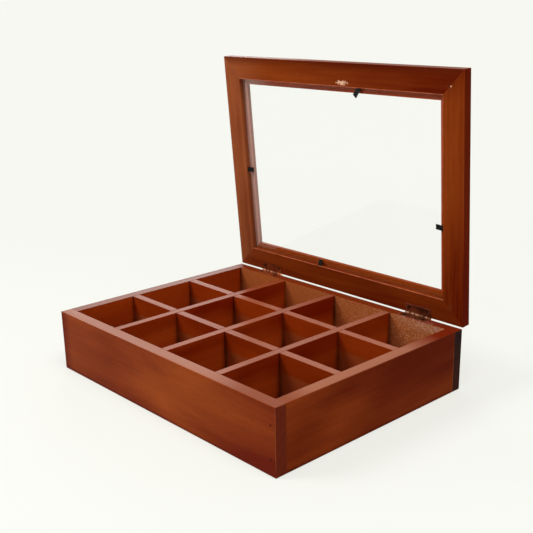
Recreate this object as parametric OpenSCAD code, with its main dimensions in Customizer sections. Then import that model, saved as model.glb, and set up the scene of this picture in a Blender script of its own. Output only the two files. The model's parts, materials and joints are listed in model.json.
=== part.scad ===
// Tea bag organizer box: a wooden box with twelve compartments and a hinged, glazed lid.
// Millimetres. X runs along the hinges, -Y is the front, +Z is up.
// The origin is the centre of the underside. The lid is drawn standing open.

/* [Compartments] */
// Clear width and depth of one compartment
cell = 72.5; // [60:0.5:90]
// Thickness of the divider strips
divider_t = 8.5; // [5:0.5:12]
// Gap left round a half-lap crossing and at the divider ends
divider_fit = 0.1; // [0.05:0.05:0.3]

/* [Box] */
// Height of the box without its lid
box_h = 66; // [50:1:110]
// Thickness of the outer boards
board_t = 12.5; // [11:0.5:16]
// Radius eased on the outer edges of the box
box_edge_r = 0.75; // [0.5:0.25:2.5]
// Thickness of the bottom panel
panel_t = 4; // [3:0.5:6]
// Width of the rabbet that holds the bottom panel
rabbet_w = 6; // [4:0.5:8]
// Gap round the bottom panel
panel_fit = 0.1; // [0.05:0.05:0.3]

/* [Lid frame] */
// Thickness of the frame mouldings
lid_t = 10.5; // [9:0.5:14]
// Width of the frame mouldings
moulding_w = 31; // [28:0.5:40]
// Width of the ledge that the glass rests on
ledge_w = 6.5; // [4:0.5:9]
// Thickness of the glass
glass_t = 2; // [1.5:0.5:3]
// Depth from the underside of the frame to the glass
glass_depth = 4.2; // [3.5:0.1:5]
// Gap round the edge of the glass
glass_fit = 0.5; // [0.2:0.1:1]
// How far the front edge of the lid stands back from the box front
lid_setback = 3; // [0:0.1:5]
// Radius eased on the outer edges of the lid
lid_edge_r = 0.5; // [0.5:0.25:2.5]
// Gap between the mitred faces
mitre_fit = 0.1; // [0.05:0.05:0.3]

/* [Lid position] */
// Angle that the lid stands open at
lid_open = 85.5; // [0:0.5:95]

/* [Hinges] */
// Length of a hinge
hinge_l = 33; // [26:1:44]
// Distance from the box end to the middle of a hinge
hinge_inset = 57; // [40:1:90]
// Reach of a leaf from the edge of the wood
leaf_w = 10; // [9:0.5:11]
// Thickness of a leaf
leaf_t = 0.4; // [0.3:0.05:0.6]
// Gap between the two leaves when the lid is closed
leaf_gap = 0.3; // [0.3:0.05:0.8]
// Radius eased on the free corners of a leaf
leaf_corner_r = 1; // [0.5:0.25:2]
// Radius of the knuckles
knuckle_r = 1.7; // [1.5:0.1:2]
// Radius of the hinge pin
pin_r = 0.8; // [0.6:0.05:1]
// Radial running clearance of the pin
pin_fit = 0.05; // [0.02:0.01:0.1]
// Gap between neighbouring knuckles
knuckle_gap = 0.3; // [0.2:0.05:0.5]
// How far the pin stands behind the box back
pin_setback = 0.4; // [0.4:0.05:1]
// Clearance of the notches cut for the knuckles
notch_fit = 0.35; // [0.2:0.05:0.6]

/* [Hinge screws] */
// Spacing of the two screws in a leaf
screw_spacing = 23.6; // [18:0.2:24]
// Distance from the edge of the wood to the screws
screw_inset = 6; // [5:0.1:6.5]
// Radius of a screw head
screw_head_r = 1.9; // [1.6:0.1:2.3]
// Height of the countersunk head
screw_head_h = 0.9; // [0.8:0.05:1.2]
// Radius of the screw shank
screw_r = 0.9; // [0.7:0.05:1.1]
// Length of a screw
screw_l = 8; // [6:0.5:8.5]
// Radial clearance of the screw holes
screw_fit = 0.05; // [0.02:0.01:0.1]
// Width of the cross recess in a screw head
recess_w = 0.5; // [0.3:0.05:0.7]
// Length of the cross recess
recess_l = 2.4; // [1.6:0.1:2.8]
// Depth of the cross recess
recess_depth = 0.4; // [0.2:0.05:0.6]

/* [Brads] */
// Radius of the corner brads
brad_r = 0.6; // [0.4:0.05:0.8]
// Length of the corner brads
brad_l = 30; // [22:1:40]
// Distance from the board end to the corner brads
brad_inset = 6; // [4:0.5:8]
// Height of the lower corner brads
brad_low = 16; // [10:1:22]
// Height of the upper corner brads
brad_high = 48; // [34:1:48]
// Radius of the panel brads
panel_brad_r = 0.5; // [0.4:0.05:0.7]
// Length of the panel brads
panel_brad_l = 14; // [10:1:20]
// Radial clearance round a brad
brad_fit = 0.03; // [0.02:0.01:0.06]
// Depth that the brad heads are set below the wood
brad_set = 0.3; // [0.1:0.1:0.8]

/* [Corner V-nails] */
// Length of a leg of the V
v_leg = 5; // [4:0.5:7]
// Thickness of the V-nail strip
v_t = 0.6; // [0.4:0.1:1]
// Depth of a V-nail in the wood
v_depth = 6; // [4:0.5:7]
// Distance of the V-nail from the two outer edges
v_inset = 16; // [12:0.5:18]
// Clearance round a V-nail
v_fit = 0.05; // [0.03:0.01:0.1]

/* [Glass tabs] */
// Length of a tab
tab_l = 17; // [15:0.5:20]
// Width of a tab
tab_w = 5.5; // [4:0.5:8]
// Thickness of a tab
tab_t = 0.5; // [0.4:0.1:0.8]
// Depth below the underside of the frame at which a tab enters the wood
tab_root = 1.4; // [1:0.1:2]
// Gap between the tip of a tab and the glass
tab_gap = 0.3; // [0.2:0.05:0.6]
// Clearance of the slots that the tabs are driven into
tab_fit = 0.05; // [0.03:0.01:0.1]

/* [Hidden] */
$fn = 64;
cols = 4;
rows = 3;
knuckles = 5;
cut = 1;
pitch = cell + divider_t;
box_w = cols * cell + (cols - 1) * divider_t + 2 * board_t;
box_d = rows * cell + (rows - 1) * divider_t + 2 * board_t;
inner_w = box_w - 2 * board_t;
inner_d = box_d - 2 * board_t;
divider_h = box_h - panel_t;
lap_z = panel_t + divider_h / 2;
panel_w = inner_w + 2 * rabbet_w;
panel_d = inner_d + 2 * rabbet_w;
panel_brad_x = inner_w / 2 + rabbet_w / 2;
panel_brad_y = inner_d / 2 + rabbet_w / 2;

// The lid is worked out closed, then swung open about the hinge pins
lid_w = box_w;
lid_d = box_d - lid_setback;
lid_back_y = box_d / 2;
lid_front_y = lid_back_y - lid_d;
lid_mid_y = (lid_back_y + lid_front_y) / 2;
lid_gap = 2 * leaf_t + leaf_gap;
lid_z = box_h + lid_gap;
glass_z = lid_z + glass_depth;
rebate_inset = moulding_w - ledge_w;
pin_y = box_d / 2 + pin_setback;
pin_z = box_h + lid_gap / 2;
hinge_x = box_w / 2 - hinge_inset;
knuckle_l = hinge_l / knuckles;
knuckle_ends = [for (i = [0:knuckles]) i * knuckle_l - hinge_l / 2];
screw_y = box_d / 2 - screw_inset;

// A tab's place is where it leaves the rebate wall, along that wall from the lid's middle
tab_front_x = 39.5;
tab_front_out = 13;
tab_front_turn = 42;
tab_hinge_x = -31.5;
tab_hinge_out = 6.5;
tab_left_y = 4;
tab_left_out = 8.5;
tab_right_y = 28;
tab_right_out = 11.5;

wood = [0.50, 0.22, 0.12];
dark_wood = [0.38, 0.15, 0.08];
brass = [0.62, 0.49, 0.27];
steel = [0.55, 0.55, 0.56];
black = [0.06, 0.06, 0.06];
clear = [0.80, 0.88, 0.88, 0.35];

// ---- Shared shapes ----

module rounded_rect(w, d, r) {
    square([w - 2 * r, d], center = true);
    square([w, d - 2 * r], center = true);
    for (x = [-1, 1], y = [-1, 1])
        translate([x * (w / 2 - r), y * (d / 2 - r)]) circle(r);
}

// A block whose twelve outer edges are eased to the radius r
module eased_block(w, d, h, r) {
    intersection() {
        linear_extrude(h) rounded_rect(w, d, r);
        translate([0, d / 2 + cut, h / 2]) rotate([90, 0, 0])
            linear_extrude(d + 2 * cut) rounded_rect(w, h, r);
        translate([-w / 2 - cut, 0, h / 2]) rotate([90, 0, 90])
            linear_extrude(w + 2 * cut) rounded_rect(d, h, r);
    }
}

module box_block() {
    eased_block(box_w, box_d, box_h, box_edge_r);
}

module panel_rabbet() {
    translate([-panel_w / 2, -panel_d / 2, -cut]) cube([panel_w, panel_d, panel_t + cut]);
}

// Swings its children from the closed to the open lid position
module swung_open() {
    translate([0, pin_y, pin_z]) rotate([-lid_open, 0, 0]) translate([0, -pin_y, -pin_z]) children();
}

// ---- Brads ----

// Heads on the front and back faces, shanks into the ends of the side boards
module brads_at_corners(r, sink) {
    for (x = [-1, 1], y = [-1, 1], z = [brad_low, brad_high])
        translate([x * (box_w / 2 - brad_inset), y * (box_d / 2 - sink), z])
            rotate([y * 90, 0, 0]) cylinder(r = r, h = brad_l + brad_set - sink);
}

// Heads under the panel, shanks up into the boards
module brads_under_panel(r, sink) {
    places = concat(
        [for (x = [-1:1], y = [-1, 1]) [x * pitch, y * panel_brad_y]],
        [for (x = [-1, 1], y = [-0.5, 0.5]) [x * panel_brad_x, y * pitch]]);
    for (p = places)
        translate([p[0], p[1], sink]) cylinder(r = r, h = panel_brad_l + brad_set - sink);
}

module corner_brads() {
    color(steel) brads_at_corners(brad_r, brad_set);
}

module panel_brads() {
    color(steel) brads_under_panel(panel_brad_r, brad_set);
}

module brad_holes() {
    brads_at_corners(brad_r + brad_fit, -cut);
    brads_under_panel(panel_brad_r + brad_fit, -cut);
}

// ---- Box ----

// The front and back boards run the full width; the side boards stand between them
module cross_board(side) {
    color(wood) difference() {
        intersection() {
            box_block();
            translate([-box_w / 2, side < 0 ? -box_d / 2 : box_d / 2 - board_t, 0])
                cube([box_w, board_t, box_h]);
        }
        panel_rabbet();
        brad_holes();
        box_screw_holes();
        knuckle_notches();
    }
}

module side_board(side) {
    color(dark_wood) difference() {
        intersection() {
            box_block();
            translate([side < 0 ? -box_w / 2 : box_w / 2 - board_t, -inner_d / 2, 0])
                cube([board_t, inner_d, box_h]);
        }
        panel_rabbet();
        brad_holes();
    }
}

module front_board() { cross_board(-1); }
module back_board() { cross_board(1); }
module left_side_board() { side_board(-1); }
module right_side_board() { side_board(1); }

module bottom_panel() {
    color(dark_wood) difference() {
        translate([panel_fit - panel_w / 2, panel_fit - panel_d / 2, 0])
            cube([panel_w - 2 * panel_fit, panel_d - 2 * panel_fit, panel_t]);
        brad_holes();
    }
}

// ---- Dividers ----

// A strip standing on the panel: place is its centre, notch_places are its crossings
module divider_strip(length, place, notch_places, notch_z) {
    difference() {
        translate([-length / 2 + divider_fit, place - divider_t / 2, panel_t])
            cube([length - 2 * divider_fit, divider_t, divider_h]);
        for (x = notch_places)
            translate([x - divider_t / 2 - divider_fit, place - divider_t / 2 - cut, notch_z])
                cube([divider_t + 2 * divider_fit, divider_t + 2 * cut, divider_h / 2 + cut]);
    }
}

// A long divider is notched from above, a short one from below
module long_divider(y) {
    color(wood) divider_strip(inner_w, y, [for (i = [-1:1]) i * pitch], lap_z);
}

module short_divider(x) {
    color(wood) rotate([0, 0, 90])
        divider_strip(inner_d, -x, [for (i = [-0.5, 0.5]) i * pitch], panel_t - cut + divider_fit);
}

module long_divider_front() { long_divider(-pitch / 2); }
module long_divider_back() { long_divider(pitch / 2); }
module short_divider_left() { short_divider(-pitch); }
module short_divider_middle() { short_divider(0); }
module short_divider_right() { short_divider(pitch); }

// ---- Lid frame ----

// Plan of the moulding along the front, cut to 45 degrees at both ends
module mitred_plan(length) {
    outer = length / 2 - mitre_fit / 2;
    inner = outer - moulding_w;
    polygon([[-outer, 0], [outer, 0], [inner, moulding_w], [-inner, moulding_w]]);
}

module mitred_blank(length, turn, reach) {
    translate([0, lid_mid_y, lid_z]) rotate([0, 0, turn]) translate([0, -reach, 0])
        linear_extrude(lid_t) mitred_plan(length);
}

module glass_rebate() {
    translate([rebate_inset - lid_w / 2, lid_front_y + rebate_inset, lid_z - cut])
        cube([lid_w - 2 * rebate_inset, lid_d - 2 * rebate_inset, glass_depth + glass_t + cut]);
}

module closed_moulding(length, turn, reach) {
    difference() {
        intersection() {
            translate([0, lid_mid_y, lid_z]) eased_block(lid_w, lid_d, lid_t, lid_edge_r);
            mitred_blank(length, turn, reach);
        }
        glass_rebate();
        v_nails(v_fit);
        tab_slots();
    }
}

module lid_front_rail() {
    color(wood) swung_open() closed_moulding(lid_w, 0, lid_d / 2);
}

module lid_hinge_rail() {
    color(wood) swung_open() difference() {
        closed_moulding(lid_w, 180, lid_d / 2);
        lid_screw_holes();
        knuckle_notches();
    }
}

module lid_left_stile() {
    color(wood) swung_open() closed_moulding(lid_d, -90, lid_w / 2);
}

module lid_right_stile() {
    color(wood) swung_open() closed_moulding(lid_d, 90, lid_w / 2);
}

// A V-nail at each corner draws the mitre together; its point faces the outer corner
module v_nails(fit) {
    for (x = [-1, 1], y = [-1, 1])
        translate([x * (lid_w / 2 - v_inset), lid_mid_y + y * (lid_d / 2 - v_inset), lid_z - (fit > 0 ? cut : 0)])
            for (leg = [-1, 1])
                rotate([0, 0, atan2(-y, -x) + leg * 45])
                    translate([-v_t / 2 - fit, -v_t / 2 - fit, 0])
                        cube([v_leg + 2 * fit, v_t + 2 * fit, v_depth + (fit > 0 ? cut + fit : 0)]);
}

module corner_v_nails() {
    color(steel) swung_open() v_nails(0);
}

// ---- Glass and its tabs ----

module glass_pane() {
    side = rebate_inset + glass_fit;
    color(clear) swung_open()
        translate([side - lid_w / 2, lid_front_y + side, glass_z])
            cube([lid_w - 2 * side, lid_d - 2 * side, glass_t]);
}

// A tab at the origin of its wall, pointing along +Y: straight in the wood, then bent to the glass
module tab(out, turn, fit) {
    bend = tab_w / 2 * tan(turn) + tab_gap;
    rise = glass_depth - tab_root - tab_t - tab_gap;
    root = out - tab_l;
    translate([0, 0, lid_z + tab_root]) rotate([0, 0, turn])
        translate([-tab_w / 2 - fit, 0, 0]) rotate([90, 0, 90]) linear_extrude(tab_w + 2 * fit)
            polygon([[root - fit, -fit], [bend, -fit], [out, rise - fit],
                [out, rise + tab_t + fit], [bend, tab_t + fit], [root - fit, tab_t + fit]]);
}

module front_tab(fit) {
    translate([tab_front_x, lid_front_y + rebate_inset, 0]) tab(tab_front_out, tab_front_turn, fit);
}

module hinge_side_tab(fit) {
    translate([tab_hinge_x, lid_back_y - rebate_inset, 0]) tab(tab_hinge_out, 180, fit);
}

module left_tab(fit) {
    translate([rebate_inset - lid_w / 2, lid_mid_y + tab_left_y, 0])
        rotate([0, 0, -90]) tab(tab_left_out, 0, fit);
}

module right_tab(fit) {
    translate([lid_w / 2 - rebate_inset, lid_mid_y + tab_right_y, 0])
        rotate([0, 0, 90]) tab(tab_right_out, 0, fit);
}

module tab_slots() {
    front_tab(tab_fit);
    hinge_side_tab(tab_fit);
    left_tab(tab_fit);
    right_tab(tab_fit);
}

module glass_tab_front() { color(black) swung_open() front_tab(0); }
module glass_tab_hinge_side() { color(black) swung_open() hinge_side_tab(0); }
module glass_tab_left() { color(black) swung_open() left_tab(0); }
module glass_tab_right() { color(black) swung_open() right_tab(0); }

// ---- Hinges ----

module along_pin(x, from, to, r) {
    translate([x + from, pin_y, pin_z]) rotate([0, 90, 0]) cylinder(r = r, h = to - from);
}

// Notches in the back board and the hinge rail that let the knuckles in
module knuckle_notches() {
    for (side = [-1, 1])
        along_pin(side * hinge_x, -hinge_l / 2 - notch_fit, hinge_l / 2 + notch_fit, knuckle_r + notch_fit);
}

// Plate of a leaf with its underside at z = level; its free corners are eased
module leaf_plate(x, level) {
    reach = leaf_w + pin_setback;
    translate([x, box_d / 2 - leaf_w, level]) linear_extrude(leaf_t) {
        translate([leaf_corner_r - hinge_l / 2, 0]) square([hinge_l - 2 * leaf_corner_r, reach]);
        translate([-hinge_l / 2, leaf_corner_r]) square([hinge_l, reach - leaf_corner_r]);
        for (end = [-1, 1])
            translate([end * (hinge_l / 2 - leaf_corner_r), leaf_corner_r]) circle(leaf_corner_r);
    }
}

// The box leaf carries knuckles 0, 2 and 4, the lid leaf carries 1 and 3
module leaf(x, level, first) {
    difference() {
        union() {
            leaf_plate(x, level);
            for (i = [first:2:knuckles - 1])
                along_pin(x, knuckle_ends[i], knuckle_ends[i + 1], knuckle_r);
        }
        for (i = [1 - first:2:knuckles - 1])
            along_pin(x, knuckle_ends[i] - knuckle_gap, knuckle_ends[i + 1] + knuckle_gap,
                knuckle_r + knuckle_gap);
        along_pin(x, -hinge_l / 2 - cut, hinge_l / 2 + cut, pin_r + pin_fit);
    }
}

module box_leaf(x) {
    color(brass) difference() {
        leaf(x, box_h, 0);
        box_screw_holes();
    }
}

module lid_leaf(x) {
    color(brass) swung_open() difference() {
        leaf(x, lid_z - leaf_t, 1);
        lid_screw_holes();
    }
}

module hinge_pin(x) {
    color(brass) along_pin(x, -hinge_l / 2, hinge_l / 2, pin_r);
}

module left_hinge_box_leaf() { box_leaf(-hinge_x); }
module left_hinge_lid_leaf() { lid_leaf(-hinge_x); }
module left_hinge_pin() { hinge_pin(-hinge_x); }
module right_hinge_box_leaf() { box_leaf(hinge_x); }
module right_hinge_lid_leaf() { lid_leaf(hinge_x); }
module right_hinge_pin() { hinge_pin(hinge_x); }

// ---- Hinge screws ----

// The space of a countersunk screw whose head lies at z = 0 and whose shank points down
module screw_space(fit) {
    translate([0, 0, -screw_head_h])
        cylinder(r1 = screw_r + fit, r2 = screw_head_r + fit, h = screw_head_h);
    translate([0, 0, -screw_l - fit]) cylinder(r = screw_r + fit, h = screw_l);
    if (fit > 0) cylinder(r = screw_head_r + fit, h = cut);
}

module screw(fit) {
    difference() {
        screw_space(fit);
        if (fit == 0)
            for (turn = [0, 90])
                rotate([0, 0, turn]) translate([-recess_l / 2, -recess_w / 2, -recess_depth])
                    cube([recess_l, recess_w, recess_depth + cut]);
    }
}

module screw_pairs(level, down, fit) {
    for (side = [-1, 1], end = [-1, 1])
        translate([side * hinge_x + end * screw_spacing / 2, screw_y, level])
            rotate([down ? 0 : 180, 0, 0]) screw(fit);
}

module box_screw_holes() { screw_pairs(box_h + leaf_t, true, screw_fit); }
module lid_screw_holes() { screw_pairs(lid_z - leaf_t, false, screw_fit); }

module box_hinge_screws() {
    color(brass) screw_pairs(box_h + leaf_t, true, 0);
}

module lid_hinge_screws() {
    color(brass) swung_open() screw_pairs(lid_z - leaf_t, false, 0);
}

front_board();
back_board();
left_side_board();
right_side_board();
bottom_panel();
long_divider_front();
long_divider_back();
short_divider_left();
short_divider_middle();
short_divider_right();
corner_brads();
panel_brads();
lid_front_rail();
lid_hinge_rail();
lid_left_stile();
lid_right_stile();
corner_v_nails();
glass_pane();
glass_tab_front();
glass_tab_hinge_side();
glass_tab_left();
glass_tab_right();
left_hinge_box_leaf();
left_hinge_lid_leaf();
left_hinge_pin();
right_hinge_box_leaf();
right_hinge_lid_leaf();
right_hinge_pin();
box_hinge_screws();
lid_hinge_screws();
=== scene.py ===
"""Finish, light and view for a twelve-compartment tea box with a hinged, glazed lid."""
import json
import math
from collections import namedtuple
from functools import cached_property

import bmesh
import bpy
from mathutils import Euler, Matrix, Vector


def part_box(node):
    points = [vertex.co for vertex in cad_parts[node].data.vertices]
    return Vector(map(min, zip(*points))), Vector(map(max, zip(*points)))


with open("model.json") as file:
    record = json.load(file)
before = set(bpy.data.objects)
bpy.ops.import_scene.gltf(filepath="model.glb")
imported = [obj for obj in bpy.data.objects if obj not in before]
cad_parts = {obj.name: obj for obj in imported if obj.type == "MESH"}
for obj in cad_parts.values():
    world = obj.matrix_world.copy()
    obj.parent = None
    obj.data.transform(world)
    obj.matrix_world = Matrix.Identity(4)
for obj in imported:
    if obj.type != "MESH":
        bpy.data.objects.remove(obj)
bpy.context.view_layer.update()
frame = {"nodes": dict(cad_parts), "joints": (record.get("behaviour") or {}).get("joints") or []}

MM = 0.001
NODES = frame["nodes"]
LID_HINGE = frame["joints"][0]
LID_CLOSING_ANGLE = math.radians(LID_HINGE["range_deg"][1])
PIN_AXIS = Vector(LID_HINGE["pos_m"])

# How far a point may lie off a face and still count as on it.
SKIN = 0.3 * MM
WALL_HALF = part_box("short_divider_middle")[1].x
CELL_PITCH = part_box("short_divider_right")[1].x - WALL_HALF
INNER_HALF_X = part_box("right_side_board")[0].x + SKIN
INNER_HALF_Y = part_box("back_board")[0].y + SKIN
RIM_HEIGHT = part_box("front_board")[1].z
BRAD_INSET = 6 * MM
BRAD_PLACE_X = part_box("front_board")[1].x - BRAD_INSET
BRAD_HEIGHTS = (16 * MM, 48 * MM)
# The pane as it stands open: its corners, its middle, and half its size along each axis.
GLASS_LOW, GLASS_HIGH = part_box("glass_pane")
GLASS_MIDDLE = (GLASS_LOW + GLASS_HIGH) / 2
GLASS_REACH = (GLASS_HIGH - GLASS_LOW) / 2
# The closed lid's underside lies this far above the hinge pins.
LID_UNDERSIDE = 0.55 * MM

# Turns that lay a piece's grain along the first axis; the lid's pieces are turned shut first.
ALONG_X = (0, 0, 0)
ALONG_Y = (0, 0, -math.pi / 2)
LID_ALONG_X = (LID_CLOSING_ANGLE, 0, 0)
LID_ALONG_Y = (LID_CLOSING_ANGLE, 0, -math.pi / 2)


def srgb(red, green, blue):
    """A colour given as 0 to 255 on screen, in the linear values that shaders take."""
    def linear(value):
        value /= 255
        return value / 12.92 if value <= 0.04045 else ((value + 0.055) / 1.055) ** 2.4

    return (linear(red), linear(green), linear(blue), 1.0)


# ---- Colours ----

# Stains and cut ends, each as its light and its dark tone.
BOARD_STAIN = (srgb(166, 78, 26), srgb(102, 26, 6))
RIGHT_BOARD_STAIN = (srgb(160, 70, 27), srgb(92, 26, 5))
LINING_STAIN = (srgb(180, 70, 17), srgb(132, 38, 5))
LONG_DIVIDER_STAIN = (srgb(170, 64, 14), srgb(126, 36, 4))
SHORT_DIVIDER_STAIN = (srgb(184, 76, 22), srgb(128, 31, 2))
LID_STAIN = (srgb(150, 66, 20), srgb(96, 23, 4))
# The left stile's pale stain is painted sheen.
SHEEN_PALE_STAIN = (srgb(178, 98, 57), srgb(122, 56, 28))
END_GRAIN = (srgb(104, 36, 14), srgb(88, 28, 11))
DEEP_END_GRAIN = (srgb(62, 24, 12), srgb(44, 16, 9))
# Painted sheen: the mean of the left stile's pale stain.
SHEEN_PALE_MEAN = srgb(158, 83, 46)
END_GRAIN_TOP = srgb(26, 14, 10)
PORE_DARK = srgb(52, 18, 8)

# Tops of the boards and dividers: rubbed lacquer with painted sheen, and painted shade at the back.
TOP_SHEEN_LEFT = srgb(132, 66, 36)
TOP_SHEEN_RIGHT = srgb(154, 102, 82)
TOP_SHEEN_LEFT_BOARD = srgb(106, 62, 44)
TOP_OUTER_LINE = srgb(56, 28, 28)
TOP_SHEEN_FRONT = srgb(156, 100, 77)
TOP_SHEEN_NEAR_CORNER = srgb(138, 76, 52)
TOP_SHEEN_RIGHT_BOARD = srgb(167, 108, 83)
# Painted shade on the back board's top and round the back right corner.
TOP_SHADE_BACK = srgb(112, 37, 10)
FAR_CORNER_SHADE = srgb(110, 31, 9)

# Wear, dust and dirt on the wood, and painted highlights, reflections and shade.
# Pale eased edges: worn stain with a painted highlight.
EDGE_WORN_AND_HIGHLIT = srgb(190, 104, 66)
# Painted highlight along the rebate's arris.
ARRIS_HIGHLIGHT = srgb(208, 122, 88)
BARE_WOOD = srgb(238, 184, 152)
THIN_STAIN = srgb(190, 104, 52)
BARE_SPECKS = srgb(232, 170, 120)
DUST_FLECKS = srgb(232, 200, 180)
# Painted highlight in streaks on the front rail's outer edge.
EDGE_HIGHLIGHT = srgb(126, 80, 66)
# Painted shade on the right stile's outer edge.
OUTER_EDGE_SHADE = srgb(90, 14, 0)
# Painted shade toward the front rail's outer edge.
OUTER_SHADE = srgb(84, 20, 6)
# Painted reflection of the compartments' pale bottom on the lower walls.
LOWER_WALL_REFLECTION = srgb(148, 78, 42)
# Painted shade where the compartments' walls meet.
CORNER_SHADE = srgb(44, 13, 5)
BRAD_STAIN = srgb(50, 14, 6)
LEDGE_PALE = srgb(174, 70, 32)
LEDGE_DARK = srgb(140, 60, 20)
# Painted reflection on the left ledge, seen through the glass.
LEDGE_REFLECTION = srgb(182, 134, 122)

# Metals, each as its clean and its dull tone.
LEFT_BRASS = (srgb(170, 92, 54), srgb(118, 56, 30))
RIGHT_BRASS = (srgb(146, 84, 54), srgb(84, 42, 26))
# Dark brass screws, also painted shade for their recesses.
SCREW_BRASS_AND_SHADE = (srgb(110, 80, 52), srgb(40, 28, 20))
STAINED_STEEL = (srgb(62, 26, 14), srgb(34, 14, 8))
SMEARED_STEEL = (srgb(150, 84, 62), srgb(62, 26, 14))
BLACK_STEEL = (srgb(16, 15, 15), srgb(8, 8, 8))
# Pale brass on the box leaves: painted reflection of the wood round them.
LEFT_BRASS_WOOD_REFLECTION = srgb(214, 132, 80)
RIGHT_BRASS_WOOD_REFLECTION = srgb(160, 98, 66)
# Painted highlight on the hinge knuckles.
KNUCKLE_HIGHLIGHT = srgb(244, 200, 180)
# Painted highlight along a hinge leaf's rim.
BRASS_RIM_HIGHLIGHT = srgb(196, 124, 108)

# Glass and setting.
GLASS_CLEAN = srgb(255, 255, 255)
GLASS_SMEARED = srgb(252, 254, 253)
PAPER_WHITE = srgb(247, 248, 241)
FLOOR_GREY = srgb(238, 239, 232)
PURE_WHITE = srgb(255, 255, 255)


# ---- Node helpers ----

def feed(tree, socket, value):
    """Links a socket to another one, or sets it to a plain value."""
    if isinstance(value, bpy.types.NodeSocket):
        tree.links.new(value, socket)
    else:
        socket.default_value = value


def add_node(tree, kind, inputs=None, **settings):
    """Adds a node, sets its properties, and feeds its inputs by name or number."""
    made = tree.nodes.new(kind)
    for name, value in settings.items():
        setattr(made, name, value)
    for key, value in (inputs or {}).items():
        feed(tree, made.inputs[key], value)
    return made


def maths(tree, operation, *values, clamp=False):
    made = add_node(tree, "ShaderNodeMath", dict(enumerate(values)), operation=operation, use_clamp=clamp)
    return made.outputs[0]


def product(tree, first, *others):
    for other in others:
        first = maths(tree, "MULTIPLY", first, other)
    return first


def total(tree, first, *others):
    for other in others:
        first = maths(tree, "ADD", first, other)
    return first


def difference(tree, first, second):
    return maths(tree, "SUBTRACT", first, second)


def absolute(tree, value):
    return maths(tree, "ABSOLUTE", value)


def is_less(tree, value, limit):
    return maths(tree, "LESS_THAN", value, limit)


def split(tree, vector):
    """A vector's three parts, by the names X, Y and Z."""
    return add_node(tree, "ShaderNodeSeparateXYZ", {"Vector": vector}).outputs


def seen_from(tree, vector, point):
    """A position given from another point."""
    return add_node(tree, "ShaderNodeVectorMath", {0: vector, 1: point}, operation="SUBTRACT").outputs[0]


def length_of(tree, vector):
    return add_node(tree, "ShaderNodeVectorMath", {0: vector}, operation="LENGTH").outputs["Value"]


def mix_colour(tree, share, first, second):
    made = add_node(tree, "ShaderNodeMix", data_type="RGBA")
    for name, value in (("Factor_Float", share), ("A_Color", first), ("B_Color", second)):
        feed(tree, next(socket for socket in made.inputs if socket.identifier == name), value)
    return next(socket for socket in made.outputs if socket.identifier == "Result_Color")


def mix_shader(tree, share, first, second):
    return add_node(tree, "ShaderNodeMixShader", {0: share, 1: first, 2: second}).outputs[0]


def map_range(tree, value, low, high, to_low=0.0, to_high=1.0):
    """Turns low into to_low and high into to_high, and holds the result between them."""
    ends = {"Value": value, "From Min": low, "From Max": high, "To Min": to_low, "To Max": to_high}
    return add_node(tree, "ShaderNodeMapRange", ends).outputs[0]


def between(tree, value, rise, fall):
    """1 where a value is past its rise and short of its fall, each a (start, end) pair."""
    return product(tree, map_range(tree, value, *rise), map_range(tree, value, *fall))


def stretched(tree, vector, scale, offset=(0, 0, 0), turn=(0, 0, 0)):
    ends = {"Vector": vector, "Scale": scale, "Location": offset, "Rotation": turn}
    return add_node(tree, "ShaderNodeMapping", ends).outputs[0]


def noise(tree, vector, scale, detail=2.0, roughness=0.5, distortion=0.0):
    ends = {"Vector": vector, "Scale": scale, "Detail": detail,
            "Roughness": roughness, "Distortion": distortion}
    return add_node(tree, "ShaderNodeTexNoise", ends).outputs["Fac"]


def patches(tree, vector, waves, start, end, least, most):
    """Uneven cover from least to most, with so many waves to the metre."""
    return map_range(tree, noise(tree, vector, waves, detail=3.0, roughness=0.6), start, end, least, most)


def new_group(name, inputs, outputs):
    """A shader group with (name, kind, default) inputs; returns it with the sockets of its two end nodes."""
    group = bpy.data.node_groups.new(name, "ShaderNodeTree")
    for label, kind, default in inputs:
        socket = group.interface.new_socket(label, in_out="INPUT", socket_type="NodeSocket" + kind)
        if default is not None:
            socket.default_value = default
    for label, kind in outputs:
        group.interface.new_socket(label, in_out="OUTPUT", socket_type="NodeSocket" + kind)
    return group, group.nodes.new("NodeGroupInput").outputs, group.nodes.new("NodeGroupOutput").inputs


def place_group(tree, group, inputs):
    """Puts a group into a material, feeds its inputs by name and returns its outputs."""
    made = tree.nodes.new("ShaderNodeGroup")
    made.node_tree = group
    for key, value in inputs.items():
        feed(tree, made.inputs[key], value)
    return made.outputs


def new_material(name):
    """A material with one Principled shader; returns it with its tree and that shader's inputs."""
    material = bpy.data.materials.new(name)
    material.use_nodes = True
    tree = material.node_tree
    tree.nodes.clear()
    surface = add_node(tree, "ShaderNodeBsdfPrincipled")
    add_node(tree, "ShaderNodeOutputMaterial", {"Surface": surface.outputs[0]})
    return material, tree, surface.inputs


class Spot:
    """The point being coloured: its position in metres and its normal, whole and by axis."""

    def __init__(self, tree):
        coordinates = add_node(tree, "ShaderNodeTexCoord").outputs
        self.tree = tree
        self.position = coordinates["Object"]
        self.normal = coordinates["Normal"]

    @cached_property
    def at(self):
        return split(self.tree, self.position)

    @cached_property
    def facing(self):
        return split(self.tree, self.normal)


# ---- Grain, end grain, and worn edges with painted highlights ----

# Noise waves to the metre, along the grain and across it.
FIGURE_WAVES = (5, 75, 75)
FIBRE_WAVES = (9, 330, 330)
CLOUD_WAVES = (5, 14, 14)
PORE_WAVES = (130, 1900, 1900)
RING_WAVES = 38.0
SPECK_WAVES = 1500.0
RING_CENTRE = (0, 0.06, 0.02)
FIBRE_WEIGHT = 0.9
PORE_WEIGHT = 0.8
SMOOTHEST, ROUGHEST = 0.30, 0.42


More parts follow.
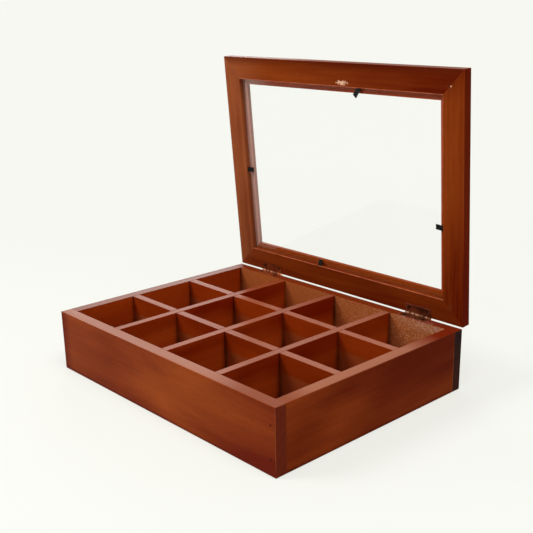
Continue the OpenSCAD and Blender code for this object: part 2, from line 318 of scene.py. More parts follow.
def make_grain_group():
    """Stained grain running along the first axis of Vector, in metres."""
    group, given, result = new_group(
        "Stained grain",
        [("Vector", "Vector", None), ("Light", "Color", BOARD_STAIN[0]), ("Dark", "Color", BOARD_STAIN[1]),
         ("Streaks", "Float", 0.5), ("Blotches", "Float", 0.5), ("Pores", "Float", 0.4),
         ("Tone and shade", "Float", 0.0)],
        [("Color", "Color"), ("Roughness", "Float"), ("Height", "Float")])

    def waves(scale, **settings):
        return noise(group, stretched(group, given["Vector"], scale), 1.0, **settings)

    figure = waves(FIGURE_WAVES, detail=4.0, roughness=0.6, distortion=0.5)
    fibres = waves(FIBRE_WAVES, detail=5.0, roughness=0.65)
    cloud = waves(CLOUD_WAVES, detail=2.0, distortion=0.6)
    pores = waves(PORE_WAVES, detail=1.0)
    figure_change = product(group, map_range(group, figure, 0.32, 0.70, -0.5, 0.5), given["Streaks"])
    fibre_change = product(group, map_range(group, fibres, 0.25, 0.75, -0.5, 0.5), given["Streaks"],
                           FIBRE_WEIGHT)
    cloud_change = product(group, map_range(group, cloud, 0.3, 0.7, -0.5, 0.5), given["Blotches"])
    lightness = total(group, 0.5, given["Tone and shade"], figure_change, fibre_change)
    lightness = maths(group, "ADD", lightness, cloud_change, clamp=True)
    stained = mix_colour(group, lightness, given["Dark"], given["Light"])
    pore_mask = product(group, map_range(group, pores, 0.62, 0.78), given["Pores"])
    feed(group, result["Color"], mix_colour(group, pore_mask, stained, PORE_DARK))
    feed(group, result["Roughness"], map_range(group, fibres, 0.3, 0.7, SMOOTHEST, ROUGHEST))
    feed(group, result["Height"], difference(group, fibres, product(group, pore_mask, PORE_WEIGHT)))
    return group


def make_end_grain_group():
    """Growth rings and pores on a cut end, and the mask of the faces that are cut ends."""
    group, given, result = new_group(
        "End grain",
        [("Vector", "Vector", None), ("Normal", "Vector", None),
         ("Light", "Color", END_GRAIN[0]), ("Dark", "Color", END_GRAIN[1])],
        [("Color", "Color"), ("Mask", "Float")])
    across = stretched(group, given["Vector"], (0, 1, 1), RING_CENTRE)
    rings = add_node(
        group, "ShaderNodeTexWave",
        {"Vector": across, "Scale": RING_WAVES, "Distortion": 1.5, "Detail": 2.0, "Detail Scale": 6.0},
        wave_type="RINGS", rings_direction="X").outputs["Fac"]
    specks = noise(group, given["Vector"], SPECK_WAVES, detail=1.0)
    share = product(group, map_range(group, rings, 0.0, 1.0, 0.35, 0.85),
                    map_range(group, specks, 0.35, 0.6, 0.75, 1.0))
    feed(group, result["Color"], mix_colour(group, share, given["Dark"], given["Light"]))
    along = absolute(group, split(group, given["Normal"])["X"])
    feed(group, result["Mask"], map_range(group, along, 0.75, 0.95))
    return group


def make_edge_wear_group():
    """Paler wood on eased edges, as worn stain and a painted highlight: the normal leaves the board's axes
    there.

    The arrises of a mitre, whose normals leave all three axes, stay as they are.
    """
    group, given, result = new_group(
        "Edge wear and highlight",
        [("Color", "Color", None), ("Vector", "Vector", None), ("Normal", "Vector", None),
         ("Worn and highlit", "Color", EDGE_WORN_AND_HIGHLIT), ("Amount", "Float", 0.7)],
        [("Color", "Color")])
    parts = split(group, given["Normal"])
    x, y, z = [absolute(group, parts[name]) for name in "XYZ"]
    largest = maths(group, "MAXIMUM", maths(group, "MAXIMUM", x, y), z)
    smallest = maths(group, "MINIMUM", maths(group, "MINIMUM", x, y), z)
    eased = map_range(group, largest, 0.98, 0.86)
    no_mitre = map_range(group, smallest, 0.2, 0.08)
    upright = map_range(group, z, 0.5, 0.2, 0.5, 1.0)
    patchy = patches(group, given["Vector"], 55.0, 0.3, 0.6, 0.25, 1.0)
    share = product(group, eased, no_mitre, upright, patchy, given["Amount"])
    feed(group, result["Color"], mix_colour(group, share, given["Color"], given["Worn and highlit"]))
    return group


STAINED_GRAIN = make_grain_group()
CUT_ENDS = make_end_grain_group()
EDGE_WEAR_AND_HIGHLIGHT = make_edge_wear_group()


# ---- Special places on the box: each takes the colour at a spot and returns the changed one ----

def rubbed_top_sheen_and_shade(tree, spot, colour, top):
    """The tops of the boards and dividers take a colour of their own: rubbed lacquer with painted sheen and
    shade.
    """
    return mix_colour(tree, map_range(tree, spot.facing["Z"], 0.8, 0.97, 0.0, 0.75), colour, top)


def divider_tops_sheen(tree, spot, colour):
    """Painted sheen on the dividers' tops, paler to the right."""
    rightward = map_range(tree, spot.at["X"], -90 * MM, 150 * MM)
    return rubbed_top_sheen_and_shade(tree, spot, colour, mix_colour(tree, rightward, TOP_SHEEN_LEFT, TOP_SHEEN_RIGHT))


# Painted sheen on the front board's top, duller toward the near corner.
def front_top_sheen(tree, spot, colour):
    nearness = map_range(tree, spot.at["X"], 80 * MM, 120 * MM)
    top = mix_colour(tree, nearness, TOP_SHEEN_FRONT, TOP_SHEEN_NEAR_CORNER)
    return rubbed_top_sheen_and_shade(tree, spot, colour, top)


# Painted sheen on the right board's top, duller toward the near corner.
def right_top_sheen(tree, spot, colour):
    nearness = map_range(tree, spot.at["Y"], -80 * MM, -108 * MM)
    top = mix_colour(tree, nearness, TOP_SHEEN_RIGHT_BOARD, TOP_SHEEN_NEAR_CORNER)
    return rubbed_top_sheen_and_shade(tree, spot, colour, top)


def left_top_sheen(tree, spot, colour):
    """Painted sheen on the left board's top, with a dark line along its outer arris."""
    inward = difference(tree, spot.at["X"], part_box("left_side_board")[0].x)
    line = map_range(tree, inward, 2.6 * MM, 1.4 * MM, 0.0, 0.85)
    return rubbed_top_sheen_and_shade(tree, spot, colour, mix_colour(tree, line, TOP_SHEEN_LEFT_BOARD, TOP_OUTER_LINE))


# Painted shade: the back board's top, under the open lid, is dark and without sheen.
def back_top_shade(tree, spot, colour):
    return rubbed_top_sheen_and_shade(tree, spot, colour, TOP_SHADE_BACK)


def far_corner_shade(tree, spot, colour):
    """Painted shade: the rim round the back right corner is darkened where no sheen falls on it."""
    near = product(tree, map_range(tree, spot.at["X"], 90 * MM, 150 * MM),
                   map_range(tree, spot.at["Y"], 46 * MM, 96 * MM))
    upward = map_range(tree, spot.facing["Z"], 0.5, 0.9)
    return mix_colour(tree, product(tree, upward, near), colour, FAR_CORNER_SHADE)


def black_upper_end(tree, spot, colour):
    """The back board's ends took the most stain toward the top."""
    upward = map_range(tree, spot.at["Z"], 22 * MM, 60 * MM, 0.0, 0.8)
    on_end = map_range(tree, absolute(tree, spot.facing["X"]), 0.75, 0.95)
    return mix_colour(tree, product(tree, upward, on_end), colour, END_GRAIN_TOP)


def outer_stain(tree, spot, colour):
    """The left board's outer face has the dark stain of the outside, not the lining's."""
    leftward = map_range(tree, spot.facing["X"], -0.6, -0.95, 0.0, 0.6)
    return mix_colour(tree, leftward, colour, BOARD_STAIN[1])


def rough_inner_face(tree, spot, colour):
    """The back board's inner face took less stain and was left unsanded: paler, and speckled to the right."""
    low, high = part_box("back_board")
    specks = noise(tree, stretched(tree, spot.position, (1, 1, 1.6)), 620.0, detail=2.0, roughness=0.7)
    rightward = map_range(tree, spot.at["X"], -50 * MM, high.x, 0.12, 0.75)
    bare = product(tree, map_range(tree, specks, 0.45, 0.68), rightward)
    pale = mix_colour(tree, 0.55, colour, THIN_STAIN)
    pale = mix_colour(tree, bare, pale, BARE_SPECKS)
    return mix_colour(tree, is_less(tree, spot.at["Y"], low.y + SKIN), colour, pale)


def dust_flecks(tree, spot, colour):
    """Dust lies along the inner arris of the back board, from the right hinge to the corner."""
    low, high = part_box("back_board")
    fine_specks = noise(tree, spot.position, 1250.0, detail=1.0, roughness=0.6)
    past_hinge = between(tree, spot.at["X"], (90 * MM, 125 * MM), (166 * MM, 150 * MM))
    at_top = map_range(tree, spot.at["Z"], high.z - 12 * MM, high.z - 1 * MM)
    near_front = map_range(tree, spot.at["Y"], low.y + 11 * MM, low.y + 5 * MM, 0.0, 0.75)
    share = product(tree, map_range(tree, fine_specks, 0.54, 0.62), past_hinge, at_top, near_front)
    return mix_colour(tree, share, colour, DUST_FLECKS)


def lower_wall_reflection(tree, spot, colour):
    """Painted reflection: lower down, the long dividers' walls are browner and duller, as if they mirrored
    the pale bottom.
    """
    downward = map_range(tree, spot.at["Z"], 48 * MM, 45 * MM, 0.0, 0.5)
    share = product(tree, downward, absolute(tree, spot.facing["Y"]))
    return mix_colour(tree, share, colour, LOWER_WALL_REFLECTION)


def corner_shade(tree, spot, colour):
    """Painted shade where the walls of the compartments meet, reaching further low down."""
    inside = product(tree, is_less(tree, absolute(tree, spot.at["X"]), INNER_HALF_X),
                     is_less(tree, absolute(tree, spot.at["Y"]), INNER_HALF_Y))
    reach = map_range(tree, spot.at["Z"], RIM_HEIGHT - 2 * MM, 10 * MM, 2.5 * MM, 12 * MM)
    share = 0.0
    for axis, across, first_wall in (("X", "Y", 0.0), ("Y", "X", CELL_PITCH / 2)):
        to_wall = maths(tree, "PINGPONG", total(tree, spot.at[axis], first_wall), CELL_PITCH / 2)
        away = maths(tree, "DIVIDE", difference(tree, to_wall, WALL_HALF), reach)
        near = maths(tree, "POWER", maths(tree, "SUBTRACT", 1.0, away, clamp=True), 1.6)
        near = product(tree, near, absolute(tree, spot.facing[across]))
        share = maths(tree, "MAXIMUM", share, near)
    patchy = patches(tree, spot.position, 30.0, 0.35, 0.65, 0.35, 0.9)
    return mix_colour(tree, product(tree, share, inside, patchy), colour, CORNER_SHADE)


def brad_stains(tree, spot, colour):
    """The filler over the corner brads has taken a darker stain than the wood round it."""
    along = difference(tree, absolute(tree, spot.at["X"]), BRAD_PLACE_X)
    nearest = 1.0
    for height in BRAD_HEIGHTS:
        above = difference(tree, spot.at["Z"], height)
        away = add_node(tree, "ShaderNodeCombineXYZ", {"X": along, "Y": above}).outputs[0]
        nearest = maths(tree, "MINIMUM", nearest, length_of(tree, away))
    return mix_colour(tree, map_range(tree, nearest, 1.25 * MM, 0.85 * MM, 0.0, 0.85), colour, BRAD_STAIN)


# ---- Special places on the lid ----

def shaded_ledge(tree, spot, colour, shade):
    """The ledge under the glass has a shade of its own."""
    offset = split(tree, seen_from(tree, spot.position, GLASS_MIDDLE))
    in_width = is_less(tree, absolute(tree, offset["X"]), GLASS_REACH.x + SKIN)
    in_height = is_less(tree, absolute(tree, offset["Z"]), GLASS_REACH.z + SKIN)
    not_behind = is_less(tree, spot.facing["Y"], 0.6)
    return mix_colour(tree, product(tree, in_width, in_height, not_behind), colour, shade)


def pale_ledge(tree, spot, colour):
    """The ledge took less stain than the face of the frame."""
    return shaded_ledge(tree, spot, colour, LEDGE_PALE)


def dark_ledge(tree, spot, colour):
    """The ledge at the hinges kept a full coat of stain."""
    return shaded_ledge(tree, spot, colour, LEDGE_DARK)


def reflected_ledge(tree, spot, colour):
    """Painted reflection: the left ledge, seen through the glass, takes the pale pinkish veil of reflected
    light.
    """
    return shaded_ledge(tree, spot, colour, LEDGE_REFLECTION)


def reflected_ledge_end(tree, spot, colour):
    """The painted reflection on the left ledge runs on a little way along the front ledge."""
    leftward = map_range(tree, spot.at["X"], -98 * MM, -135 * MM)
    return mix_colour(tree, leftward, colour, reflected_ledge(tree, spot, colour))


def arris_highlight(tree, spot, colour):
    """Painted highlight: a thin pale line round the rebate along its arris on the underside of the lid."""
    middle = Matrix.Rotation(LID_CLOSING_ANGLE, 3, "X") @ (GLASS_MIDDLE - PIN_AXIS)
    depth_reach = GLASS_REACH.z / math.sin(LID_CLOSING_ANGLE)
    from_pin = seen_from(tree, spot.position, PIN_AXIS)
    closed = split(tree, stretched(tree, from_pin, (1, 1, 1), turn=LID_ALONG_X))
    past_side = difference(tree, absolute(tree, closed["X"]), GLASS_REACH.x)
    past_end = difference(tree, absolute(tree, difference(tree, closed["Y"], middle.y)), depth_reach)
    past_glass = maths(tree, "MAXIMUM", past_side, past_end)
    line = between(tree, past_glass, (0.1 * MM, 0.4 * MM), (1.2 * MM, 0.8 * MM))
    underside = map_range(tree, closed["Z"], LID_UNDERSIDE + 1.2 * MM, LID_UNDERSIDE + 0.6 * MM)
    patchy = patches(tree, spot.position, 90.0, 0.35, 0.6, 0.25, 0.75)
    return mix_colour(tree, product(tree, line, underside, patchy), colour, ARRIS_HIGHLIGHT)


def half_arris_highlight(tree, spot, colour):
    """Lower down, the right stile's arris has less of the painted highlight."""
    upward = map_range(tree, spot.at["Z"], 200 * MM, 280 * MM, 0.0, 0.7)
    return mix_colour(tree, upward, colour, arris_highlight(tree, spot, colour))


def sheen_pale_end(tree, spot, colour, share=0.9):
    """Painted sheen: toward its left end a rail takes the pale colour of the left stile."""
    leftward = map_range(tree, spot.at["X"], -95 * MM, -160 * MM, 0.0, share)
    return mix_colour(tree, leftward, colour, SHEEN_PALE_MEAN)


# A faint painted sheen at the hinge rail's left end.
def slightly_sheen_pale_end(tree, spot, colour):
    return sheen_pale_end(tree, spot, colour, 0.12)


def outer_edge_shade(tree, spot, colour):
    """Painted shade: the right stile's outer edge, on the side that gets little light, is a deeper red-brown.
    """
    past_glass = difference(tree, spot.at["X"], GLASS_HIGH.x)
    outward = map_range(tree, spot.facing["X"], 0.7, 0.95, 0.0, 0.75)
    share = product(tree, outward, map_range(tree, past_glass, 12 * MM, 16 * MM))
    return mix_colour(tree, share, colour, OUTER_EDGE_SHADE)


def front_rail_shade_and_highlight(tree, spot, colour):
    """Painted shade deepens the front rail toward its outer edge, and a painted highlight lies in streaks on
    the edge itself.
    """
    from_top = difference(tree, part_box("lid_front_rail")[1].z, spot.at["Z"])
    shaded = mix_colour(tree, map_range(tree, from_top, 11 * MM, 2 * MM, 0.0, 0.65), colour, OUTER_SHADE)
    streaks = noise(tree, stretched(tree, spot.position, (8, 130, 130)), 1.0, detail=4.0, roughness=0.6)
    upward = map_range(tree, spot.facing["Z"], 0.7, 0.95, 0.0, 0.9)
    edge_highlight = product(tree, upward, map_range(tree, from_top, 4 * MM, 2 * MM),
                   map_range(tree, streaks, 0.35, 0.65, 0.6, 1.0))
    return mix_colour(tree, edge_highlight, shaded, EDGE_HIGHLIGHT)


def nail_fleck(tree, spot, colour):
    """A splinter has lifted beside the V-nail in the front right corner of the lid."""
    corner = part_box("corner_v_nails")[1]
    centre_x, centre_z = corner.x + 0.5 * MM, corner.z - 1 * MM
    offset = stretched(tree, spot.position, (1, 0, 1), (-centre_x, 0, -centre_z))
    near = map_range(tree, length_of(tree, offset), 1.0 * MM, 0.6 * MM)
    inner_face = is_less(tree, spot.facing["Y"], -0.5)
    return mix_colour(tree, product(tree, near, inner_face), colour, BARE_WOOD)


def torn_chip(tree, spot, colour):
    """A shallow tear beside the rebate of the front rail shows bare wood."""
    low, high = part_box("lid_front_rail")
    centre = Vector((17 * MM, low.y, high.z - 21 * MM))
    half_width, half_depth, half_height = 7.2 * MM, 6 * MM, 2.6 * MM
    offset = seen_from(tree, spot.position, centre)
    oval = stretched(tree, offset, (1 / half_width, 1 / half_depth, 1 / half_height))
    fibres = noise(tree, spot.position, 520.0, detail=3.0, roughness=0.7)
    ragged = map_range(tree, fibres, 0.3, 0.7, -0.75, 0.75)
    outward = total(tree, length_of(tree, oval), ragged)
    return mix_colour(tree, map_range(tree, outward, 0.85, 0.7), colour, BARE_WOOD)


# ---- Wood ----

BOARD_EASING = 0.35 * MM
STRIP_EASING = 0.4 * MM
SHARP_ANGLE = math.radians(50)
WELD_DISTANCE = 0.001 * MM
GRAIN_RELIEF = 0.12 * MM
BUMP_STRENGTH = 0.25
LACQUER_IOR = 1.5

# A change of tone along an axis, from one place to another in mm; below zero is darker.
Band = namedtuple("Band", "axis start end first last")

BOARD = dict(turn=ALONG_X, stain=BOARD_STAIN, ends=END_GRAIN, wear_and_highlight=0.85, gloss=0.02, streaks=0.16,
             blotches=0.55, easing=BOARD_EASING, bands=(), places=())
DIVIDER = BOARD | dict(wear_and_highlight=0.3, gloss=0.026, blotches=0.8, easing=STRIP_EASING)
LONG_DIVIDER = DIVIDER | dict(
    stain=LONG_DIVIDER_STAIN,
    # Painted shade, darker toward the bottom of the compartments.
    bands=[Band("Z", 30, 6, 0.0, -0.35)],
    places=[lower_wall_reflection, divider_tops_sheen, corner_shade])
SHORT_DIVIDER = DIVIDER | dict(
    turn=ALONG_Y, stain=SHORT_DIVIDER_STAIN,
    # Painted shade, darker at the top of the walls and toward the bottom of the compartments.
    bands=[Band("Z", 40, 56, 0.08, -0.36), Band("Z", 30, 6, 0.0, -0.4)],
    places=[divider_tops_sheen, corner_shade])
LID_RAIL = BOARD | dict(turn=LID_ALONG_X, stain=LID_STAIN, gloss=0.008, streaks=0.3)
LID_STILE = LID_RAIL | dict(turn=LID_ALONG_Y)

# The order of the pieces sets which stretch of grain each one shows.
WOOD = {
    "front_board": BOARD | dict(
        # The last band is painted shade along the foot of the board.
        bands=[Band("X", 40, 168, 0.0, -0.32), Band("X", -60, -150, 0.0, 0.06),
               Band("X", -154, -170, 0.0, -0.4), Band("Z", 20, 4, 0.0, -0.12), Band("Z", 4, 0, 0.0, -0.5)],
        places=[front_top_sheen, corner_shade, brad_stains]),
    "back_board": BOARD | dict(
        ends=DEEP_END_GRAIN, wear_and_highlight=0.3,
        bands=[Band("X", 80, 165, 0.0, -0.5)],
        places=[back_top_shade, rough_inner_face, dust_flecks, far_corner_shade, corner_shade, brad_stains,
                black_upper_end]),
    "left_side_board": BOARD | dict(
        turn=ALONG_Y, stain=LINING_STAIN, gloss=0.026,
        places=[outer_stain, left_top_sheen, corner_shade]),
    "right_side_board": BOARD | dict(
        turn=ALONG_Y, stain=RIGHT_BOARD_STAIN, gloss=0.008,
        # The second band is painted shade along the foot of the board.
        bands=[Band("Y", -90, 118, -0.09, -0.34), Band("Z", 4, 0, 0.0, -0.4)],
        places=[right_top_sheen, far_corner_shade, corner_shade]),
    "bottom_panel": BOARD,
    "long_divider_front": LONG_DIVIDER,
    "long_divider_back": LONG_DIVIDER,
    "short_divider_left": SHORT_DIVIDER,
    "short_divider_middle": SHORT_DIVIDER,
    "short_divider_right": SHORT_DIVIDER,
    "lid_front_rail": LID_RAIL | dict(
        bands=[Band("X", -60, 165, 0.15, -0.45)],
        places=[sheen_pale_end, front_rail_shade_and_highlight, torn_chip, nail_fleck, pale_ledge, reflected_ledge_end, arris_highlight]),
    "lid_hinge_rail": LID_RAIL | dict(
        wear_and_highlight=0.3,
        bands=[Band("X", -150, 150, -0.1, -0.22)],
        places=[slightly_sheen_pale_end, dark_ledge, arris_highlight]),
    "lid_left_stile": LID_STILE | dict(
        stain=SHEEN_PALE_STAIN,
        bands=[Band("Z", 300, 100, 0.15, -0.25), Band("Z", 230, 310, 0.0, -0.3)],
        places=[reflected_ledge]),
    "lid_right_stile": LID_STILE | dict(
        streaks=0.5,
        bands=[Band("Z", 300, 100, 0.38, -0.3), Band("Z", 290, 318, 0.0, -0.5)],
        places=[outer_edge_shade, nail_fleck, pale_ledge, half_arris_highlight]),
}
# Each piece takes its grain this much further on, in metres, than the piece before it.
GRAIN_STEP = (0.31, 0.17, 0.23)


def dress(node_name, material):
    piece = NODES[node_name]
    piece.data.materials.clear()
    piece.data.materials.append(material)
    return piece


def ease_edges(piece, width):
    """Joins the faces that meet along an edge, then rounds the sharp edges."""
    joined = piece.modifiers.new("joined faces", "WELD")
    joined.merge_threshold = WELD_DISTANCE
    bevel = piece.modifiers.new("eased edges", "BEVEL")
    bevel.width = width
    bevel.segments = 2
    bevel.limit_method = "ANGLE"
    bevel.angle_limit = SHARP_ANGLE
    bevel.harden_normals = True


def toned(tree, spot, bands):
    """How much lighter or darker the wood is at a spot: toning of the sprayed stain, and painted shade in
    some bands.
    """
    change = 0.0
    for band in bands:
        along = map_range(tree, spot.at[band.axis], band.start * MM, band.end * MM, band.first, band.last)
        change = total(tree, change, along)
    return change


def stained_wood(name, look, grain_place):
    """Red-brown stained and lacquered wood, with its special places: marks, painted sheen, reflection and
    shade.
    """
    material, tree, surface = new_material(name)
    spot = Spot(tree)
    vector = stretched(tree, spot.position, (1, 1, 1), grain_place, look["turn"])
    normal = add_node(tree, "ShaderNodeMapping", {"Vector": spot.normal, "Rotation": look["turn"]},
                      vector_type="NORMAL").outputs[0]
    light, dark = look["stain"]
    grain = place_group(tree, STAINED_GRAIN, {
        "Vector": vector, "Light": light, "Dark": dark, "Streaks": look["streaks"],
        "Blotches": look["blotches"], "Tone and shade": toned(tree, spot, look["bands"])})
    end_light, end_dark = look["ends"]
    end = place_group(tree, CUT_ENDS, {
        "Vector": vector, "Normal": normal, "Light": end_light, "Dark": end_dark})
    colour = mix_colour(tree, end["Mask"], grain["Color"], end["Color"])
    for place in look["places"]:
        colour = place(tree, spot, colour)
    worn_and_highlit = place_group(tree, EDGE_WEAR_AND_HIGHLIGHT, {
        "Color": colour, "Vector": vector, "Normal": normal, "Amount": look["wear_and_highlight"]})
    relief = {"Height": grain["Height"], "Strength": BUMP_STRENGTH, "Distance": GRAIN_RELIEF}
    feed(tree, surface["Base Color"], worn_and_highlit["Color"])
    feed(tree, surface["Roughness"], grain["Roughness"])
    feed(tree, surface["Normal"], add_node(tree, "ShaderNodeBump", relief).outputs[0])
    surface["IOR"].default_value = LACQUER_IOR
    surface["Specular IOR Level"].default_value = look["gloss"]
    return material


def finish_wood():
    for number, (name, look) in enumerate(WOOD.items()):
        grain_place = [step * number for step in GRAIN_STEP]
        piece = dress(name, stained_wood(name.replace("_", " ") + " wood", look, grain_place))
        ease_edges(piece, look["easing"])


# ---- Metal and glass ----

LEAF_EASING = 0.12 * MM
TAB_EASING = 0.1 * MM
KNUCKLE_RADIUS = 1.8 * MM
HINGE_PATINA_WAVES = 70.0
GLASS_IOR = 1.2
SMEAR_ROUGHNESS = 0.03


def make_patina_group():
    """Uneven darkening of old metal."""
    group, given, result = new_group(
        "Patina",
        [("Vector", "Vector", None), ("Clean", "Color", None), ("Dull", "Color", None),
         ("Scale", "Float", 300.0), ("Clean Roughness", "Float", 0.25), ("Dull Roughness", "Float", 0.5)],
        [("Color", "Color"), ("Roughness", "Float")])
    share = map_range(group, noise(group, given["Vector"], given["Scale"], detail=4.0), 0.38, 0.62)
    spread = difference(group, given["Dull Roughness"], given["Clean Roughness"])
    feed(group, result["Color"], mix_colour(group, share, given["Clean"], given["Dull"]))
    feed(group, result["Roughness"], total(group, given["Clean Roughness"], product(group, share, spread)))
    return group


PATINA = make_patina_group()


def old_metal(name, tones, metallic=1.0, scale=300.0, roughness=(0.25, 0.5), gloss=0.5):
    """Metal whose clean and dull patches have their own tone and roughness."""
    material, tree, surface = new_material(name)
    patina = place_group(tree, PATINA, {
        "Vector": Spot(tree).position, "Clean": tones[0], "Dull": tones[1], "Scale": scale,
        "Clean Roughness": roughness[0], "Dull Roughness": roughness[1]})
    feed(tree, surface["Base Color"], patina["Color"])
    feed(tree, surface["Roughness"], patina["Roughness"])
    surface["Metallic"].default_value = metallic
    surface["Specular IOR Level"].default_value = gloss
    return material


def rim_highlight(tree, spot, colour, leaf):
    """Painted highlight along the left and upper edges of a hinge leaf."""
    low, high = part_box(leaf)
    from_side = difference(tree, spot.at["X"], low.x)
    from_top = difference(tree, high.z, spot.at["Z"])
    rim = map_range(tree, maths(tree, "MINIMUM", from_side, from_top), 1.3 * MM, 0.7 * MM, 0.0, 0.6)
    return mix_colour(tree, rim, colour, BRASS_RIM_HIGHLIGHT)


def hinge_brass(name, clean, dull, highlit_leaf=None):
    """Darkened brass whose knuckles are worn bright round the pin, with a painted highlight there."""
    material, tree, surface = new_material(name)
    spot = Spot(tree)
    patina = place_group(tree, PATINA, {
        "Vector": spot.position, "Clean": clean, "Dull": dull, "Scale": HINGE_PATINA_WAVES})
    from_pin = stretched(tree, seen_from(tree, spot.position, PIN_AXIS), (0, 1, 1))
    on_knuckle = map_range(tree, length_of(tree, from_pin), KNUCKLE_RADIUS, KNUCKLE_RADIUS - 0.3 * MM)
    along_pin = stretched(tree, spot.position, (1, 0.2, 0.2))
    worn_and_highlit = product(tree, on_knuckle, map_range(tree, noise(tree, along_pin, 260.0), 0.44, 0.56))
    colour = mix_colour(tree, worn_and_highlit, patina["Color"], KNUCKLE_HIGHLIGHT)
    if highlit_leaf:
        colour = rim_highlight(tree, spot, colour, highlit_leaf)
    feed(tree, surface["Base Color"], colour)
    feed(tree, surface["Roughness"], map_range(tree, worn_and_highlit, 0.0, 1.0, 0.5, 0.3))
    surface["Metallic"].default_value = 1.0
    return material


def clear_glass():
    material, tree, surface = new_material("clear glass")
    smears = noise(tree, Spot(tree).position, 14.0, detail=3.0, roughness=0.6, distortion=0.8)
    feed(tree, surface["Base Color"], mix_colour(tree, smears, GLASS_CLEAN, GLASS_SMEARED))
    feed(tree, surface["Roughness"], map_range(tree, smears, 0.55, 0.8, 0.0, SMEAR_ROUGHNESS))
    surface["Transmission Weight"].default_value = 1.0
    surface["IOR"].default_value = GLASS_IOR
    return material


def finish_hinge(side, tone, brass, box_leaf_reflection, highlit_leaf=None):
    """The leaf on the box is paler than the leaf on the lid and the pin: a painted reflection of the wood
    round it.
    """
    clean, dull = brass
    lid_brass = hinge_brass(tone, clean, dull, highlit_leaf)
    box_brass = hinge_brass(tone + " with painted reflection", box_leaf_reflection, clean)
    ease_edges(dress(f"{side}_hinge_box_leaf", box_brass), LEAF_EASING)
    ease_edges(dress(f"{side}_hinge_lid_leaf", lid_brass), LEAF_EASING)
    dress(f"{side}_hinge_pin", lid_brass)


def finish_metal_and_glass():
    finish_hinge("left", "antique brass", LEFT_BRASS, LEFT_BRASS_WOOD_REFLECTION)
    finish_hinge("right", "darker antique brass", RIGHT_BRASS, RIGHT_BRASS_WOOD_REFLECTION, "right_hinge_lid_leaf")
    # The screws' dark brass is also painted shade for their recesses.
    shaded_screw_brass = old_metal("darkened and shaded brass screws", SCREW_BRASS_AND_SHADE)
    brad_steel = old_metal("stained steel", STAINED_STEEL, metallic=0.0, roughness=(0.6, 0.8), gloss=0.1)
    nail_steel = old_metal("smeared steel", SMEARED_STEEL, metallic=0.0, scale=24.0,
                           roughness=(0.5, 0.8), gloss=0.1)
    tab_steel = old_metal("blackened steel", BLACK_STEEL, metallic=0.0, scale=500.0,
                          roughness=(0.45, 0.6), gloss=0.15)
    for name in ("box_hinge_screws", "lid_hinge_screws"):
        dress(name, shaded_screw_brass)
    for name in ("corner_brads", "panel_brads"):
        dress(name, brad_steel)
    dress("corner_v_nails", nail_steel)
    for side in ("front", "hinge_side", "left", "right"):
        ease_edges(dress(f"glass_tab_{side}", tab_steel), TAB_EASING)
    dress("glass_pane", clear_glass()).visible_shadow = False


# ---- Setting, light and view ----

FLOOR_HALF = 3.0
FLOOR_DROP = 0.4 * MM
# Distances in metres over which the floor fades, outward and behind the box, and what is left there.
FADE_START, FADE_END = 0.5, 1.3
BACK_FADE_START, BACK_FADE_END = 0.17, 0.42
LEFT_BEHIND = 0.2
SHADOW_STRENGTH = 0.34
ROOM_LIGHT = 0.32


def seen_rays(tree):
    """1 for rays that show the background: those of the camera, of gloss and through glass."""
    rays = add_node(tree, "ShaderNodeLightPath").outputs
    share = total(tree, rays["Is Camera Ray"], rays["Is Glossy Ray"])
    return maths(tree, "ADD", share, rays["Is Transmission Ray"], clamp=True)


def floor_material():
    """Pale paper that keeps a soft shadow, fades outward into the background and is clear from below.

    It is also clear to the light that leaves the box's underside, so that the underside can be seen lit.
    """
    material = bpy.data.materials.new("pale floor")
    material.use_nodes = True
    tree = material.node_tree
    tree.nodes.clear()
    position = Spot(tree).position
    outward = map_range(tree, length_of(tree, position), FADE_START, FADE_END, 1.0, 0.0)
    backward = map_range(tree, split(tree, position)["Y"], BACK_FADE_START, BACK_FADE_END, 1.0, LEFT_BEHIND)
    matt = add_node(tree, "ShaderNodeBsdfDiffuse", {"Color": FLOOR_GREY}).outputs[0]
    glow = add_node(tree, "ShaderNodeEmission", {"Color": PAPER_WHITE, "Strength": 1.0}).outputs[0]
    clear = add_node(tree, "ShaderNodeBsdfTransparent").outputs[0]
    shown = mix_shader(tree, SHADOW_STRENGTH, glow, matt)
    lit = mix_shader(tree, seen_rays(tree), matt, shown)
    faded = mix_shader(tree, product(tree, outward, backward), clear, lit)
    below = add_node(tree, "ShaderNodeNewGeometry").outputs["Backfacing"]
    rays = add_node(tree, "ShaderNodeLightPath").outputs
    from_underside = product(tree, rays["Is Diffuse Ray"], is_less(tree, rays["Ray Length"], 2 * MM))
    hidden = maths(tree, "MAXIMUM", below, from_underside)
    add_node(tree, "ShaderNodeOutputMaterial", {"Surface": mix_shader(tree, hidden, faded, clear)})
    return material


def make_floor():
    mesh = bpy.data.meshes.new("floor")
    form = bmesh.new()
    bmesh.ops.create_grid(form, x_segments=1, y_segments=1, size=FLOOR_HALF)
    form.to_mesh(mesh)
    form.free()
    mesh.materials.append(floor_material())
    floor = bpy.data.objects.new("floor", mesh)
    floor.location.z = -FLOOR_DROP
    bpy.context.scene.collection.objects.link(floor)


def background(tree, colour, strength):
    return add_node(tree, "ShaderNodeBackground", {"Color": colour, "Strength": strength}).outputs[0]


def make_world():
    """White light in the room, and a paper-white background where it is seen."""
    world = bpy.data.worlds.new("paper white")
    bpy.context.scene.world = world
    world.use_nodes = True
    tree = world.node_tree
    tree.nodes.clear()
    lighting = background(tree, PURE_WHITE, ROOM_LIGHT)
    shown = background(tree, PAPER_WHITE, 1.0)
    add_node(tree, "ShaderNodeOutputWorld", {"Surface": mix_shader(tree, seen_rays(tree), lighting, shown)})


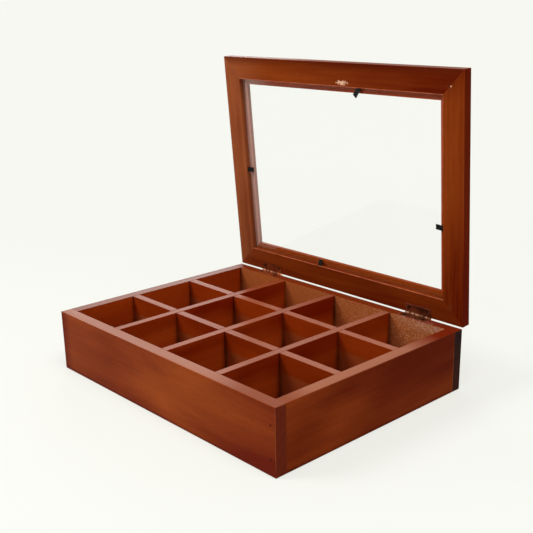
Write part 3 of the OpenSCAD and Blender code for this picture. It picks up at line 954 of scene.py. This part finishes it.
def make_lamp(name, place, aim, size, power, in_gloss):
    """A round soft lamp turned to its aim; places and size in metres, power in watts."""
    lamp = bpy.data.lights.new(name, "AREA")
    lamp.shape = "DISK"
    lamp.size = size
    lamp.energy = power
    piece = bpy.data.objects.new(name, lamp)
    piece.location = place
    piece.rotation_euler = (Vector(aim) - Vector(place)).to_track_quat("-Z", "Y").to_euler()
    piece.visible_glossy = in_gloss
    piece.visible_transmission = False
    bpy.context.scene.collection.objects.link(piece)


def make_lamps():
    make_lamp("key lamp", (-0.9, -1.3, 1.5), (0, 0, 0.08), size=0.9, power=21, in_gloss=False)
    make_lamp("top lamp", (0.7, -0.25, 1.75), (0, 0, 0.05), size=1.1, power=21, in_gloss=False)
    make_lamp("back lamp", (-1.68, 1.05, 0.62), (-0.1, 0, 0.06), size=0.9, power=10, in_gloss=True)


CAMERA_PLACE = (654.0 * MM, -574.7 * MM, 380.8 * MM)
CAMERA_HEADING = math.radians(46.338)
CAMERA_DROP = math.radians(18.302)
CAMERA_ROLL = math.radians(-0.566)
SENSOR_WIDTH = 36
FOCAL_LENGTH = 59.543
FRAME_SHIFT = (-0.0415, 0.0536)
NEAREST_SEEN, FARTHEST_SEEN = 0.01, 50


def make_camera():
    lens = bpy.data.cameras.new("camera")
    lens.sensor_width = SENSOR_WIDTH
    lens.lens = FOCAL_LENGTH
    lens.shift_x, lens.shift_y = FRAME_SHIFT
    lens.clip_start, lens.clip_end = NEAREST_SEEN, FARTHEST_SEEN
    camera = bpy.data.objects.new("camera", lens)
    aim = Euler((math.pi / 2 - CAMERA_DROP, 0, CAMERA_HEADING)).to_matrix()
    rolled = aim @ Matrix.Rotation(CAMERA_ROLL, 3, "Z")
    camera.matrix_world = Matrix.Translation(CAMERA_PLACE) @ rolled.to_4x4()
    bpy.context.scene.collection.objects.link(camera)
    bpy.context.scene.camera = camera


finish_wood()
finish_metal_and_glass()
make_floor()
make_world()
make_lamps()
make_camera()
bpy.context.scene.view_settings.view_transform = "Standard"
